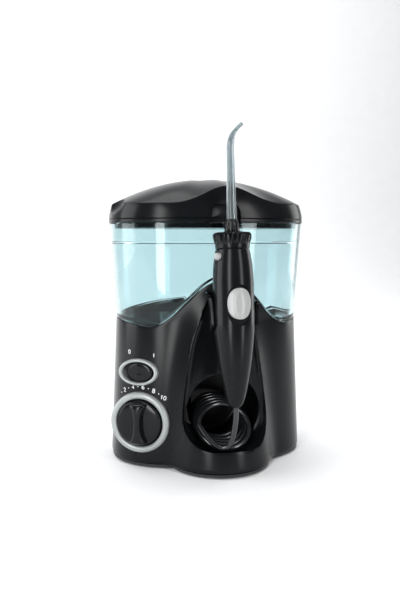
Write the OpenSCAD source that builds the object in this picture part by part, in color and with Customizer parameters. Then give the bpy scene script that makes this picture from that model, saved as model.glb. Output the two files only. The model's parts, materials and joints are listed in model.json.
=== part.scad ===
// Counter-top water flosser: a base with pump, a clear tank with a lid, and a handle on a coiled hose.
// Millimetres, +X right, +Y back, +Z up. The origin lies on the table under the middle of the object.

/* [Base] */
// Half width of the base at the table
base_a = 78; // [76:0.5:80]
// Half depth of the base at the table
base_b = 50.5; // [48:0.5:54]
// Centre of the base, tank and lid, back from the origin
mid_y = 17; // [16:0.5:18]
// Wall of the base housing
wall = 2.4; // [2:0.2:3]
// Lowest height of the wavy front edge
wave_low = 108.4; // [107.6:0.2:111]
// Rise of the hump in the middle of the wavy edge
wave_rise = 35; // [33:0.2:37]
// Radius of the hose cavity
cavity_r = 29; // [27:0.5:30]
// Height of the hose cavity's axis
cavity_z = 43.5; // [42:0.5:45]

/* [Tank and lid] */
// Half width of the tank at its top
tank_a = 77.6; // [75:0.2:79]
// Half depth of the tank at its top
tank_b = 54; // [53:0.2:54.4]
// Height of the tank's top edge
tank_top = 186; // [184:0.5:188]
// Height of the top of the lid
lid_top = 221; // [218:0.5:224]
// Squareness of the base, tank and lid outlines (2 is an ellipse)
squareness = 2.4; // [2.2:0.1:2.6]

/* [Handle] */
// Lean of the handle, its top towards the tank
lean = 5; // [4.5:0.5:5.5]
// Greatest radius of the handle
grip_r = 14.7; // [14.5:0.1:14.8]
// Length of the handle up to the knurled collar
grip_len = 112.5; // [112:0.5:113]
// Height of the handle's lower end
grip_z = 54; // [53:0.5:55]
// Distance of the handle's lower end in front of the origin
grip_y = -63.6; // [-64:0.2:-63]
// Outer diameter of the hose
hose_d = 4; // [3.8:0.1:4]

/* [Controls] */
// Turn of the dial and switch away from the front, towards the left
control_turn = 30; // [26:1:36]
// Outer radius of the ring around the dial
ring_r = 23.4; // [22:0.2:24]
// Radius of the dial
dial_r = 17.4; // [16:0.2:17.6]

/* [Pump] */
// Gear module
gear_m = 0.8; // [0.8:0.1:0.8]
// Teeth of the motor pinion
pinion_teeth = 12; // [12:1:12]
// Teeth of the drive gear
gear_teeth = 48; // [48:1:48]
// Throw of the eccentric
throw = 1.5; // [1.3:0.1:1.5]
// Radius of the pump piston
piston_r = 4; // [3.8:0.1:4.1]
// Radial clearance of shafts in their bearings
fit = 0.05; // [0.03:0.01:0.08]

/* [Hidden] */
$fn = 48;
gap = 0.4;
outline_steps = 72;
plate_z = 1.2;
plate_t = 2.4;
floor_z = plate_z + plate_t;
deck_z = 104.2;
deck_t = 2.4;
seat_z = 107.4;
waist_a = 73;
waist_b = 48;
waist_z = 113;
rear_rim = 121;
side_rim = 111.6;
half_wave = 51;
edge_reach = 72.5;
toe_low = [-21, 40];
toe_high = [-7, 30];
toe_z = 150;
niche_back = -31;
niche_lean = 0.035;
niche_mid = 62;
cavity_back = 15;
pump_y = 38;
pump_x = 18;
motor_x = pump_x + gear_m * (gear_teeth + pinion_teeth) / 2;
frame_z = 50;
frame_t = 3;
gear_z = 55;
rod_z = 61.6;
pump_z = 64;
pin_x = pump_x - throw - 22.5;
dial_at = [-61.2, -17.1, 35];
switch_at = [-62, -16.5, 75.5];
hinge_y = mid_y + 52.4;
hinge_z = 193.4;
neck_r = 9.4;
collar_z = grip_len + 0.5;
collar_t = 11.8;
stem_r = 3;
coil_r = 19.8;
coil_tilt = 45;
coil_turns = 5.18;
coil_at = [0, -38, 32];
coil_step = [0, 6.2, 0.5];
fitting_at = [-16, cavity_back, 44];
// Route of the straight stretch of the hose, from the handle down to the first turn of the coil
hose_route = [[0, -63.8, 55], [0, -64, 50], [-0.2, -63.6, 44], [-0.6, -62.6, 38], [-1.2, -61, 32],
    [-2.2, -58.4, 26.4], [-3.6, -55.4, 22.3], [-5.8, -52.6, 20], [-8.4, -50.7, 19.3]];
// Route of the hose from the last turn of the coil to its fitting
tail_route = [[-19.8, -5.9, 34.6], [-19.6, -1.5, 38.2], [-18.6, 3, 41.2], [-17.2, 7, 43.2],
    [-16.2, 10, 43.9],
    [-16, 12.9, 44]];

foot_places = [[-50, -8], [50, -8], [-42, 52], [42, 52], [-14, -46], [14, -46]];
post_places = [[-67, -2], [67, -2], [-65, 40], [65, 40]];
leg_places = [[-46, 24], [-46, 40], [58, 26], [27, 50]];
gland_at = [20, 22];

// ---------- outlines and lofts ----------

function power(v, e) = sign(v) * pow(abs(v), e);
// Rounded oval of half sizes a and b
function oval(a, b, steps = outline_steps) = [for (i = [0:steps - 1]) let (t = 360 * i / steps)
    [a * power(cos(t), 2 / squareness), b * power(sin(t), 2 / squareness)]];
// Points on a smooth curve through the given ones
function curve_at(p, i, t) = let (a = p[max(i - 1, 0)], b = p[i], c = p[i + 1],
    d = p[min(i + 2, len(p) - 1)])
    0.5 * (2 * b + (c - a) * t + (2 * a - 5 * b + 4 * c - d) * t * t
        + (3 * b - a - 3 * c + d) * t * t * t);
function smooth(p, steps = 4) = [for (i = [0:len(p) - 2], k = [0:steps - 1])
    curve_at(p, i, k / steps), p[len(p) - 1]];

// Closed skin over rings of points, each ring counter-clockwise seen from its far end
module skin(rings) {
    m = len(rings[0]);
    last = (len(rings) - 1) * m;
    sides = [for (j = [0:len(rings) - 2], i = [0:m - 1]) let (k = (i + 1) % m)
        [j * m + i, (j + 1) * m + i, (j + 1) * m + k, j * m + k]];
    ends = [[for (i = [0:m - 1]) i], [for (i = [m - 1:-1:0]) last + i]];
    polyhedron([for (ring = rings) each ring], concat(sides, ends), convexity = 6);
}

// Loft of oval levels, each given as half width, half depth and height
module loft(levels) {
    skin([for (l = levels) [for (p = oval(l[0], l[1])) [p[0], p[1] + mid_y, l[2]]]]);
}

// Tube or rod along a route of points
function unit(v) = v / norm(v);
module sweep(route, r, sides = 8, across = [1, 0, 0.01]) {
    count = len(route);
    skin([for (i = [0:count - 1]) let (
        t = unit(route[min(i + 1, count - 1)] - route[max(i - 1, 0)]),
        u = unit(cross(t, across)), v = cross(t, u))
        [for (k = [0:sides - 1]) route[i] + r * (cos(360 * k / sides) * u + sin(360 * k / sides) * v)]]);
}

module ring(outer, inner, h) {
    difference() {
        cylinder(h = h, r = outer);
        translate([0, 0, -1]) cylinder(h = h + 2, r = inner);
    }
}

// Spur gear blank with straight-flanked teeth
module gear(teeth, h) {
    pitch = gear_m * teeth / 2;
    root = pitch - 1.25 * gear_m;
    tip = pitch + 0.85 * gear_m;
    step = 360 / teeth;
    linear_extrude(height = h) polygon([for (i = [0:teeth - 1]) each [
        [root * cos(step * (i - 0.36)), root * sin(step * (i - 0.36))],
        [pitch * cos(step * (i - 0.22)), pitch * sin(step * (i - 0.22))],
        [tip * cos(step * (i - 0.1)), tip * sin(step * (i - 0.1))],
        [tip * cos(step * (i + 0.1)), tip * sin(step * (i + 0.1))],
        [pitch * cos(step * (i + 0.22)), pitch * sin(step * (i + 0.22))],
        [root * cos(step * (i + 0.36)), root * sin(step * (i + 0.36))]]]);
}

// ---------- shared places ----------

module on_handle() { translate([0, grip_y, grip_z]) rotate([-lean, 0, 0]) children(); }
// Local Z points out of the left wing
module on_wing(at) { translate(at) rotate([90, 0, -control_turn]) children(); }
module oval_plate(half_x, half_y, h) {
    linear_extrude(height = h) polygon([for (i = [0:47])
        [half_x * cos(7.5 * i), half_y * sin(7.5 * i)]]);
}

// ---------- base ----------

function tank_level(z, inset) = let (t = (z - waist_z) / (tank_top - waist_z))
    [waist_a + (tank_a - waist_a) * t - inset, waist_b + (tank_b - waist_b) * t - inset, z];
function base_level(z, inset) = let (t = z / waist_z) z > waist_z ? tank_level(z, inset)
    : [base_a - (base_a - waist_a) * t - inset, base_b - (base_b - waist_b) * t - inset, z];
function wave(x) = abs(x) < half_wave
    ? wave_low + wave_rise * (1 + cos(180 * x / half_wave)) / 2
    : wave_low + (side_rim - wave_low) * pow((abs(x) - half_wave) / (edge_reach - half_wave), 2);
function rear(x) = rear_rim - (rear_rim - side_rim) * pow(x / edge_reach, 2);

// Everything below the wavy front edge and the rear edge, both raised by lift
module below_edge(lift = 0) {
    reach = 90;
    front = [for (x = [-84:3:84]) [x, (abs(x) < edge_reach ? wave(x) : side_rim) + lift]];
    back = [for (x = [-84:12:84]) [x, (abs(x) < edge_reach ? rear(x) : side_rim) + lift]];
    translate([0, mid_y, 0]) rotate([90, 0, 0]) linear_extrude(height = reach)
        polygon([[-84, -5], [84, -5], for (i = [len(front) - 1:-1:0]) front[i]]);
    translate([0, mid_y + reach, 0]) rotate([90, 0, 0]) linear_extrude(height = reach + 0.01)
        polygon([[-84, -5], [84, -5], for (i = [len(back) - 1:-1:0]) back[i]]);
}

module toe(inset = 0, low = 3.2) {
    hull() {
        translate([0, toe_low[0], low]) cylinder(h = 0.1, r = toe_low[1] - inset, $fn = 64);
        translate([0, toe_high[0], toe_z]) cylinder(h = 0.1, r = toe_high[1] - inset, $fn = 64);
    }
}

module base_body(inset = 0, low = 3.2) {
    loft([base_level(low, inset), base_level(waist_z, inset), base_level(toe_z + 0.1, inset)]);
    toe(inset, low);
}

// Egg-shaped ring of the niche at a depth y, leaning forwards with height
function niche_ring(y, side, low, grow) = let (half = smooth([[0, low], [20, 20], [30, 28], [33, 40],
    [31, 61], [28.5, 80], [26, 97], [22, 112], [16, 128], [10, 135], [0, 139]], 3),
    all = [each half, for (i = [len(half) - 2:-1:1]) [-half[i][0], half[i][1]]])
    [for (p = all) [p[0] * side * (1 + grow / 30), y - niche_lean * (p[1] - cavity_z),
        niche_mid + (p[1] - niche_mid) * (1 + grow / 70)]];
module niche(grow = 0) {
    skin([niche_ring(niche_back + grow, 0.82, 15.4, grow), niche_ring(niche_back - 1.6, 0.95, 14.8, grow),
        niche_ring(-35, 1, 15, grow), niche_ring(-72, 1.16, 17.2, grow)]);
    translate([0, cavity_back + grow, cavity_z]) rotate([90, 0, 0])
        cylinder(h = cavity_back + grow + 50, r = cavity_r + grow, $fn = 64);
}

module base_housing() {
    color([0.16, 0.17, 0.19]) difference() {
        intersection() {
            base_body();
            below_edge();
        }
        // lower room, ledge for the deck and the well above it
        difference() {
            intersection() {
                union() {
                    loft([base_level(3, wall), base_level(101, wall)]);
                    toe(wall, 3);
                }
                translate([-90, -90, 0]) cube([180, 180, 101]);
            }
            niche(2);
            for (p = post_places) translate([p[0], p[1], 3]) cylinder(h = 20, r = 4);
        }
        loft([base_level(100.9, 5), base_level(104.4, 5)]);
        loft([base_level(deck_z - 0.1, wall), base_level(waist_z, wall), base_level(toe_z + 2, wall)]);
        niche();
        for (p = post_places) translate([p[0], p[1], 2]) cylinder(h = 13, r = 1.2);
        on_wing(dial_at) translate([0, 0, -26]) cylinder(h = 30, r = 9);
        on_wing(dial_at) translate([0, 0, -3.6]) cylinder(h = 20, r = dial_r + gap, $fn = 96);
        on_wing(switch_at) translate([0, 0, -26]) oval_plate(13.6, 8.8, 40);
        // seats that hold the hose fitting and the cord gland
        translate(fitting_at) rotate([90, 0, 0]) cylinder(h = 12, r = 4, center = true);
        translate([gland_at[0], 40, gland_at[1]]) rotate([-90, 0, 0]) {
            cylinder(h = 40, r = 5);
            translate([0, 0, 25.1]) cylinder(h = 20, r = 7.2);
        }
    }
}

module base_plate() {
    color([0.13, 0.14, 0.15]) difference() {
        union() {
            translate([0, 0, plate_z]) intersection() {
                union() {
                    linear_extrude(height = 2) translate([0, mid_y]) polygon(oval(base_a - 0.8,
                        base_b - 0.8));
                    translate([0, toe_low[0], 0]) cylinder(h = 2, r = toe_low[1] - 0.8, $fn = 64);
                }
                translate([-90, -90, -1]) cube([180, 180, 10]);
            }
            translate([0, mid_y, 3]) linear_extrude(height = floor_z - 3)
                polygon(oval(base_a - wall - 0.6, base_b - wall - 0.6));
        }
        for (p = [each post_places, each leg_places]) translate([p[0], p[1], 0]) cylinder(h = 8, r = 1.7);
        for (p = post_places) translate([p[0], p[1], 3]) cylinder(h = 2, r = 4.3);
        for (p = foot_places) translate([p[0], p[1], 0]) cylinder(h = 2.4, r = 6.1);
    }
}

module feet() {
    color([0.08, 0.08, 0.08]) for (p = foot_places) translate([p[0], p[1], 0]) {
        cylinder(h = 2.4, r = 6);
    }
}

// Eight equal screws: four hold the housing and four hold the pump frame
module screws() {
    color([0.75, 0.76, 0.78]) for (p = [each post_places, each leg_places]) {
        translate([p[0], p[1], 0.2]) difference() {
            union() {
                cylinder(h = 1, r = 2.8);
                cylinder(h = 12, r = 1.2);
            }
            translate([-0.4, -1.8, -0.1]) cube([0.8, 3.6, 0.6]);
        }
    }
}

module reservoir_deck() {
    color([0.15, 0.16, 0.18]) difference() {
        union() {
            loft([base_level(deck_z, wall + 0.3), base_level(deck_z + deck_t, wall + 0.3)]);
            for (x = [-39, 3], y = [15, 43]) translate([x, y, 85.6]) cylinder(h = 19, r = 2);
        }
        translate([30, 34, deck_z - 1]) cylinder(h = 6, r = 5.5);
    }
}

// Open-fronted holder for the handle, moulded with two ears
module handle_cradle() {
    color([0.2, 0.21, 0.23]) on_handle() translate([0, 0, 57]) difference() {
        union() {
            cylinder(h = 24, r = 18.6);
            translate([-9, 8, 0]) cube([18, 17.6, 24]);
        }
        translate([0, 0, -1]) cylinder(h = 30, r = grip_r + 0.6);
        translate([-30, -42, -1]) cube([60, 40, 30]);
        translate([-30, -22, -1]) cube([60, 22, 7]);
        translate([-30, -22, 18]) cube([60, 22, 7]);
    }
}

module inlet_fitting() {
    color([0.8, 0.8, 0.78]) translate([30, 34, 0]) difference() {
        union() {
            translate([0, 0, 88]) cylinder(h = 23.4, r = 2.9);
            translate([0, 0, deck_z + deck_t]) cylinder(h = 0.6, r = 7);
            translate([0, 0, deck_z]) cylinder(h = deck_t + 0.1, r = 5.4);
            translate([0, 0, deck_z - 1.6]) cylinder(h = 1.6, r = 7);
        }
        translate([0, 0, 80]) cylinder(h = 40, r = 1.7);
    }
}

module inlet_seal() {
    color([0.1, 0.1, 0.1]) translate([30, 34, deck_z + deck_t + 0.6]) difference() {
        cylinder(h = 1, r = 4.6);
        translate([0, 0, -1]) cylinder(h = 4, r = 2.95);
    }
}

module cord_gland() {
    color([0.12, 0.12, 0.13]) translate([gland_at[0], 0, gland_at[1]]) rotate([-90, 0, 0]) difference() {
        union() {
            translate([0, 0, 55]) cylinder(h = 14, r = 4.9);
            translate([0, 0, 65.2]) cylinder(h = 3.8, r = 7);
            translate([0, 0, 60]) cylinder(h = 2.4, r = 6.4);
        }
        translate([0, 0, 40]) cylinder(h = 40, r = 3.1);
    }
}

// ---------- controls ----------

module dial_ring() {
    color([0.8, 0.82, 0.83]) on_wing(dial_at) difference() {
        union() {
            translate([0, 0, -1.6]) rotate_extrude($fn = 96) polygon([[dial_r + 0.4, -5],
                [ring_r - 0.6, -5],
                [ring_r, -1], [ring_r - 0.4, 1], [ring_r - 1.6, 2.2], [ring_r - 3, 2.6],
                [ring_r - 4.6, 2], [dial_r + 0.4, 0.6]]);
            translate([0, 0, -6.6]) cylinder(h = 3, r = dial_r + 1);
            translate([0, 0, -14]) cylinder(h = 8, r = 8.8);
        }
        translate([0, 0, -30]) cylinder(h = 40, r = 3.1);
    }
}

module pressure_dial() {
    color([0.15, 0.16, 0.18]) on_wing(dial_at) difference() {
        union() {
            translate([0, 0, -3.3]) rotate_extrude($fn = 96) polygon([[0, 0], [dial_r, 0],
                [dial_r, 2.6], [dial_r - 1.2, 4.4], [dial_r - 3.4, 5], [0, 5]]);
            intersection() {
                translate([-3.4, -30, 0]) cube([6.8, 60, 9.4]);
                translate([0, 0, -20]) sphere(r = 29.4, $fn = 64);
                cylinder(h = 20, r = dial_r - 2);
            }
        }
        translate([0, 0, -4]) cylinder(h = 6, r = 2.5);
    }
}

module valve_stem() {
    color([0.78, 0.78, 0.75]) on_wing(dial_at) {
        translate([0, 0, -20]) cylinder(h = 21.9, r = 2.5);
        translate([0, 0, -24]) cylinder(h = 4, r = 4.9);
    }
}

module valve_housing() {
    color([0.75, 0.76, 0.74]) on_wing(dial_at) difference() {
        union() {
            translate([0, 0, -30]) cylinder(h = 15.6, r = 7.6);
            translate([0, -14, -27]) rotate([-90, 0, 0]) cylinder(h = 14, r = 2.8);
        }
        translate([0, 0, -27.5]) cylinder(h = 20, r = 4.95);
        translate([0, -15, -27]) rotate([-90, 0, 0]) cylinder(h = 14, r = 1.5);
    }
}

module switch_bezel() {
    color([0.8, 0.82, 0.83]) on_wing(switch_at) difference() {
        union() {
            translate([0, 0, -7]) oval_plate(15.6, 10.2, 8);
            translate([0, 0, 0.9]) oval_plate(14.6, 9.3, 1.1);
            translate([0, 0, -10]) oval_plate(13.4, 8.6, 4);
        }
        translate([0, 0, -14]) oval_plate(12.6, 7.9, 20);
    }
}

// Rocker on a vertical pin; its left half is pressed in at rest
module switch_rocker() {
    color([0.09, 0.09, 0.1]) on_wing(switch_at) intersection() {
        translate([0, 0, -8]) oval_plate(11.8, 7.4, 12);
        translate([0, 0, -4]) rotate([0, -7, 0]) rotate([90, 0, 0]) {
            linear_extrude(height = 20, center = true)
                polygon([[-12, -3], [12, -3], [12, 2.6], [0, 4.6], [-12, 2.6]]);
            cylinder(h = 9, r = 4, center = true);
        }
    }
}

module switch_body() {
    color([0.2, 0.2, 0.2]) on_wing(switch_at) difference() {
        translate([-9, -6.2, -27]) cube([18, 12.4, 16.4]);
        for (x = [-6, 0, 6]) translate([x, 0, -30]) cylinder(h = 6, r = 0.9);
    }
}

module rectifier_board() {
    color([0.1, 0.35, 0.2]) translate([-42, 12, 84]) cube([48, 34, 1.6]);
    color([0.1, 0.1, 0.1]) translate([-30, 28, 85.5]) cylinder(h = 12, r = 5);
    color([0.7, 0.7, 0.7]) translate([-12, 20, 85.5]) cube([8, 14, 5]);
}

// ---------- pump drive ----------

module pump_frame() {
    color([0.6, 0.62, 0.62]) difference() {
        union() {
            translate([0, 0, frame_z]) linear_extrude(height = frame_t) intersection() {
                translate([-52, pump_y - 20]) square([114, 35]);
                translate([0, mid_y]) polygon(oval(base_a - 6, base_b - 6));
            }
            for (p = leg_places) translate([p[0], p[1], floor_z]) cylinder(h = frame_z - floor_z + 1,
                r = 3);
            translate([pump_x, pump_y, frame_z]) cylinder(h = 4.4, r = 5);
            translate([-52, pump_y - 9, frame_z]) cube([12, 18, 5.5]);
        }
        for (p = leg_places) translate([p[0], p[1], 0]) cylinder(h = 14, r = 1.2);
        translate([motor_x, pump_y, frame_z - 1]) cylinder(h = 6, r = 4.2);
        translate([pump_x, pump_y, frame_z - 1]) cylinder(h = 8, r = 2);
    }
}

module motor_can() {
    color([0.72, 0.73, 0.74]) translate([motor_x, pump_y, 0]) difference() {
        union() {
            translate([0, 0, 8]) cylinder(h = 42, r = 13.6);
            translate([0, 0, 49.9]) cylinder(h = 3, r = 4.2);
        }
        translate([0, 0, 10]) cylinder(h = 38, r = 12.4);
        translate([0, 0, 5]) cylinder(h = 60, r = 2.8);
    }
}

module motor_bushings() {
    color([0.72, 0.55, 0.3]) translate([motor_x, pump_y, 0]) for (z = [8, 49]) translate([0, 0, z]) {
        ring(2.8, 1.5 + fit, z == 8 ? 2 : 3.9);
    }
}

module motor_rotor() {
    color([0.55, 0.3, 0.2]) translate([motor_x, pump_y, 0]) {
        translate([0, 0, 7]) cylinder(h = 55, r = 1.5);
        translate([0, 0, 13]) cylinder(h = 30, r = 10.6);
        translate([0, 0, 43]) cylinder(h = 3, r = 4);
    }
}

module motor_pinion() {
    color([0.85, 0.82, 0.6]) translate([motor_x, pump_y, gear_z - 1]) difference() {
        rotate([0, 0, 180 / pinion_teeth]) gear(pinion_teeth, 7);
        translate([0, 0, -1]) cylinder(h = 10, r = 1.5);
    }
}

module drive_gear() {
    color([0.9, 0.9, 0.86]) translate([pump_x, pump_y, 0]) difference() {
        union() {
            translate([0, 0, gear_z]) gear(gear_teeth, 5);
            translate([-throw, 0, gear_z + 5]) cylinder(h = 5.6, r = 7);
        }
        translate([0, 0, 50]) cylinder(h = 20, r = 2 + fit);
        for (t = [60:60:359]) rotate([0, 0, t]) translate([13, 0, 50]) cylinder(h = 20, r = 3);
    }
}

module gear_axle() {
    color([0.75, 0.76, 0.78]) translate([pump_x, pump_y, 0]) {
        translate([0, 0, frame_z - 1]) cylinder(h = 18.6, r = 2);
        translate([0, 0, 66]) ring(4, 1.9, 1.2);
    }
}

module connecting_rod() {
    color([0.82, 0.82, 0.78]) difference() {
        union() {
            translate([pump_x - throw, pump_y, rod_z]) cylinder(h = 3.4, r = 10);
            translate([pin_x, pump_y - 3, rod_z]) cube([17, 6, 3.4]);
            translate([pin_x - 7.2, pump_y - 5.6, rod_z]) cube([13, 11.2, 3.4]);
        }
        translate([pump_x - throw, pump_y, 50]) cylinder(h = 20, r = 7 + fit);
        translate([pin_x - 4.6, pump_y - 3.2, 50]) cube([9.2, 6.4, 20]);
    }
}

module pump_piston() {
    color([0.86, 0.86, 0.83]) {
        translate([pin_x - 10.6, pump_y, pump_z]) rotate([0, -90, 0]) difference() {
            cylinder(h = 23, r = piston_r - fit);
            for (z = [16, 20]) translate([0, 0, z]) ring(piston_r + 1, piston_r - 1, 1.4);
        }
        difference() {
            translate([pin_x - 13.6, pump_y - 4, 60.3]) cube([17, 8, 7.7]);
            translate([pin_x - 9.8, pump_y - 8, rod_z - 0.4]) cube([20, 16, 4.2]);
        }
        translate([pin_x, pump_y, 60.8]) cylinder(h = 6.7, r = 1.2);
    }
}

module piston_seals() {
    color([0.1, 0.1, 0.1]) for (z = [16, 20]) {
        translate([pin_x - 10.6 - z - 1.3, pump_y, pump_z]) rotate([0, 90, 0])
            ring(piston_r - 0.02, piston_r - 1, 1.2);
    }
}

module pump_body() {
    color([0.8, 0.8, 0.77]) difference() {
        translate([-52, pump_y - 9, 55.5]) cube([26, 18, 17.5]);
        translate([-60, pump_y, pump_z]) rotate([0, 90, 0]) cylinder(h = 60, r = piston_r);
    }
}

module pump_head() {
    color([0.75, 0.75, 0.72]) difference() {
        union() {
            translate([-60, pump_y - 8, 55.5]) cube([8, 16, 17.5]);
            translate([-56, pump_y, 73]) cylinder(h = 7, r = 2.8);
            translate([-56, pump_y - 8, pump_z]) rotate([90, 0, 0]) cylinder(h = 8, r = 2.8);
        }
        translate([-56, pump_y, pump_z]) rotate([0, 90, 0]) cylinder(h = 10, r = piston_r);
        translate([-56, pump_y - 30, pump_z]) rotate([-90, 0, 0]) cylinder(h = 30, r = 1.5);
        translate([-56, pump_y, pump_z]) cylinder(h = 30, r = 1.5);
        translate([-56, pump_y - 7.4, pump_z]) rotate([-90, 0, 0]) cylinder(h = 2, r = 2.6);
        translate([-56, pump_y, pump_z + 5.4]) cylinder(h = 2, r = 2.6);
    }
}

module check_valves() {
    color([0.25, 0.2, 0.2]) {
        translate([-56, pump_y - 7, pump_z]) rotate([-90, 0, 0]) cylinder(h = 1.2, r = 2.4);
        translate([-56, pump_y, pump_z + 5.8]) cylinder(h = 1.2, r = 2.4);
    }
}

// ---------- water path ----------

module bent_tube(route, across) {
    last = len(route) - 1;
    bore = [2 * route[0] - route[1], each route, 2 * route[last] - route[last - 1]];
    difference() {
        sweep(smooth(route, 3), 2.6, 12, across);
        sweep(smooth(bore, 3), 1.5, 12, across);
    }
}

module inlet_tube() {
    color([0.85, 0.88, 0.88]) bent_tube([[30, 34, 87.4], [30, 34, 86.4], [30, 34.2, 85],
        [28.6, 36, 81.2], [24, 41, 77.6], [14, 47, 75.8],
        [-6, 51.5, 76.4], [-30, 52, 80], [-45, 49, 86], [-53, 42.6, 89.6], [-55.8, 38.4, 86],
            [-56, pump_y, 83],
        [-56, pump_y, 80.1]], [0, 1, 0]);
}

module outlet_tube() {
    color([0.85, 0.88, 0.88]) bent_tube([[-56, pump_y - 16.6, 64], [-56, 20.4, 64], [-56, 19.2, 63.8],
        [-56.4, 16.4, 61], [-56.8, 15, 54], [-54, 14.6, 48],
        [-46, 17, 44], [-34, 21, 42], [-22, 23, 43], [-17, 22, 44], [-16, 20, 44]], [1, 2, 3]);
}

module hose_fitting() {
    color([0.12, 0.12, 0.13]) translate(fitting_at) rotate([90, 0, 0]) difference() {
        union() {
            translate([0, 0, 0.2]) cylinder(h = 1.8, r = 5.2);
            translate([0, 0, -5]) cylinder(h = 6, r = 3.9);
        }
        translate([0, 0, -10]) cylinder(h = 20, r = 1.4);
    }
}

// Outer form of the hose's turns, which lean back one behind the other in the cavity
module hose_coil() {
    outer = coil_r + hose_d / 2;
    inner = coil_r - hose_d / 2;
    rise = sin(coil_tilt);
    color([0.08, 0.08, 0.09]) intersection() {
        translate([0, 30, coil_at[2] + 5.5]) rotate([90 + 4.6, 0, 0]) difference() {
            oval_plate(outer, outer * rise, 90);
            translate([0, 0, -1]) oval_plate(inner, inner * rise, 92);
        }
        translate(coil_at + coil_step * coil_turns / 2) rotate([coil_tilt, 0, 0])
            cube([60, 60, coil_turns * 4.03 + 1], center = true);
    }
}

module hose_lead() {
    color([0.08, 0.08, 0.09]) sweep(smooth(hose_route, 2), hose_d / 2, 8);
}

module hose_tail() {
    color([0.08, 0.08, 0.09]) sweep(smooth(tail_route, 2), hose_d / 2, 8);
}

// ---------- tank and lid ----------

module reservoir() {
    plug = wall + 0.6;
    color([0.75, 0.9, 0.92, 0.4]) difference() {
        union() {
            difference() {
                loft([tank_level(108, 0), tank_level(tank_top, 0)]);
                below_edge(gap);
            }
            loft([base_level(seat_z, plug), base_level(waist_z, plug), base_level(154, plug)]);
        }
        loft([base_level(seat_z + 2.6, plug + 2), base_level(waist_z, plug + 2),
            base_level(156, plug + 2)]);
        difference() {
            loft([tank_level(108, 2.4), tank_level(tank_top + 2, 2.4)]);
            below_edge(gap + 2.4);
        }
        translate([30, 34, 100]) cylinder(h = 20, r = 6);
    }
}

module tank_valve() {
    color([0.08, 0.08, 0.08]) translate([30, 34, seat_z]) difference() {
        union() {
            translate([0, 0, 0.9]) cylinder(h = 7, r = 5.9);
            translate([0, 0, 2.7]) cylinder(h = 1.4, r = 7.6);
        }
        translate([0, 0, -1]) cylinder(h = 6, r = 3.3);
        translate([-3, -0.2, 0]) cube([6, 0.4, 20]);
    }
}

module lid_notch() {
    translate([0, mid_y - 50, tank_top - 2]) rotate([90, 0, 0]) {
        linear_extrude(height = 20) polygon([[-11.5, -1], [11.5, -1], for (i = [0:12])
            [11.5 * cos(15 * i), 5 + 9 * sin(15 * i)]]);
    }
}

// Shallow tray that closes the tank and holds the spare tips
module lid_tray() {
    color([0.15, 0.16, 0.18]) difference() {
        union() {
            loft([[78.2, 55, tank_top], [78.2, 55, tank_top + 3]]);
            loft([[74.2, 51, tank_top - 4], [74.2, 51, tank_top + 1]]);
        }
        loft([[71.6, 48.4, tank_top - 2], [71.6, 48.4, tank_top + 9]]);
        lid_notch();
        translate([0, hinge_y, hinge_z]) rotate([0, 90, 0]) cylinder(h = 130, r = 3.9, center = true);
    }
    color([0.15, 0.16, 0.18]) for (x = [-24, 24]) {
        difference() {
            union() {
                translate([x - 3, hinge_y - 3, tank_top]) cube([6, 5.4, 5.4]);
                translate([x - 3, hinge_y, hinge_z]) rotate([0, 90, 0]) cylinder(h = 6, r = 3);
            }
            translate([x - 4, hinge_y, hinge_z]) rotate([0, 90, 0]) cylinder(h = 8, r = 1.2);
        }
    }
    color([0.15, 0.16, 0.18]) for (x = [-44, -20, 20, 44]) difference() {
        translate([x - 1.5, mid_y - 30, tank_top - 2.2]) cube([3, 60, 7]);
        for (y = [-20, -8, 4, 16]) translate([x - 3, mid_y + y, tank_top + 4]) rotate([0, 90, 0]) {
            cylinder(h = 6, r = 3.1);
        }
    }
}

function dome(s, drop) = [75.4 * s - drop, 53 * s - drop,
    202 + (lid_top - 202) * (1 - pow(s, 2)) - drop];
module lid_cover() {
    top = [for (s = [0.94, 0.86, 0.74, 0.6, 0.44, 0.28, 0.12]) s];
    color([0.14, 0.15, 0.17]) difference() {
        loft([[78.1, 54.9, tank_top + 3.3], [77.2, 54.2, 195], [75.4, 53.2, 202],
            for (s = top) dome(s, 0)]);
        difference() {
            loft([[75.7, 52.5, tank_top + 3], [74.8, 51.8, 195], [72.8, 50.8, 200.4],
                for (s = top) dome(s, 2.2)]);
            translate([-14, mid_y - 60, tank_top]) cube([28, 13, 16]);
        }
        lid_notch();
        for (x = [-1, 1]) translate([x * 87.2, mid_y - 14, 199]) rotate([90, 0, 0]) {
            cylinder(h = 32, r = 13, center = true);
        }
        translate([-60, hinge_y - 0.4, tank_top]) cube([120, 14, 5.2]);
        translate([-28, hinge_y - 4.4, tank_top]) cube([56, 18, 9.6]);
        for (x = [-24, 24]) translate([x - 3.4, hinge_y - 6, tank_top]) cube([6.8, 7.4, 11.6]);
    }
    color([0.14, 0.15, 0.17]) for (x = [-18, 18]) difference() {
        union() {
            translate([x - 2.4, hinge_y, hinge_z]) rotate([0, 90, 0]) cylinder(h = 4.8, r = 3);
            translate([x - 2.4, hinge_y - 4, hinge_z]) cube([4.8, 4.4, 7]);
        }
        translate([x - 4, hinge_y, hinge_z]) rotate([0, 90, 0]) cylinder(h = 8, r = 1.2 + fit);
    }
}

module lid_hinge_pin() {
    color([0.75, 0.76, 0.78]) translate([-27, hinge_y, hinge_z]) rotate([0, 90, 0]) cylinder(h = 54,
        r = 1.2);
}

module stored_tips() {
    color([0.75, 0.8, 0.82]) for (y = [-20, -8, 4, 16]) translate([-52, mid_y + y, tank_top + 4]) {
        rotate([0, 90, 0]) difference() {
            union() {
                cylinder(h = 100, r = 2.5);
                cylinder(h = 14, r = 2.9);
            }
            translate([0, 0, -1]) cylinder(h = 110, r = 1);
        }
    }
}

// ---------- handle ----------

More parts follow.
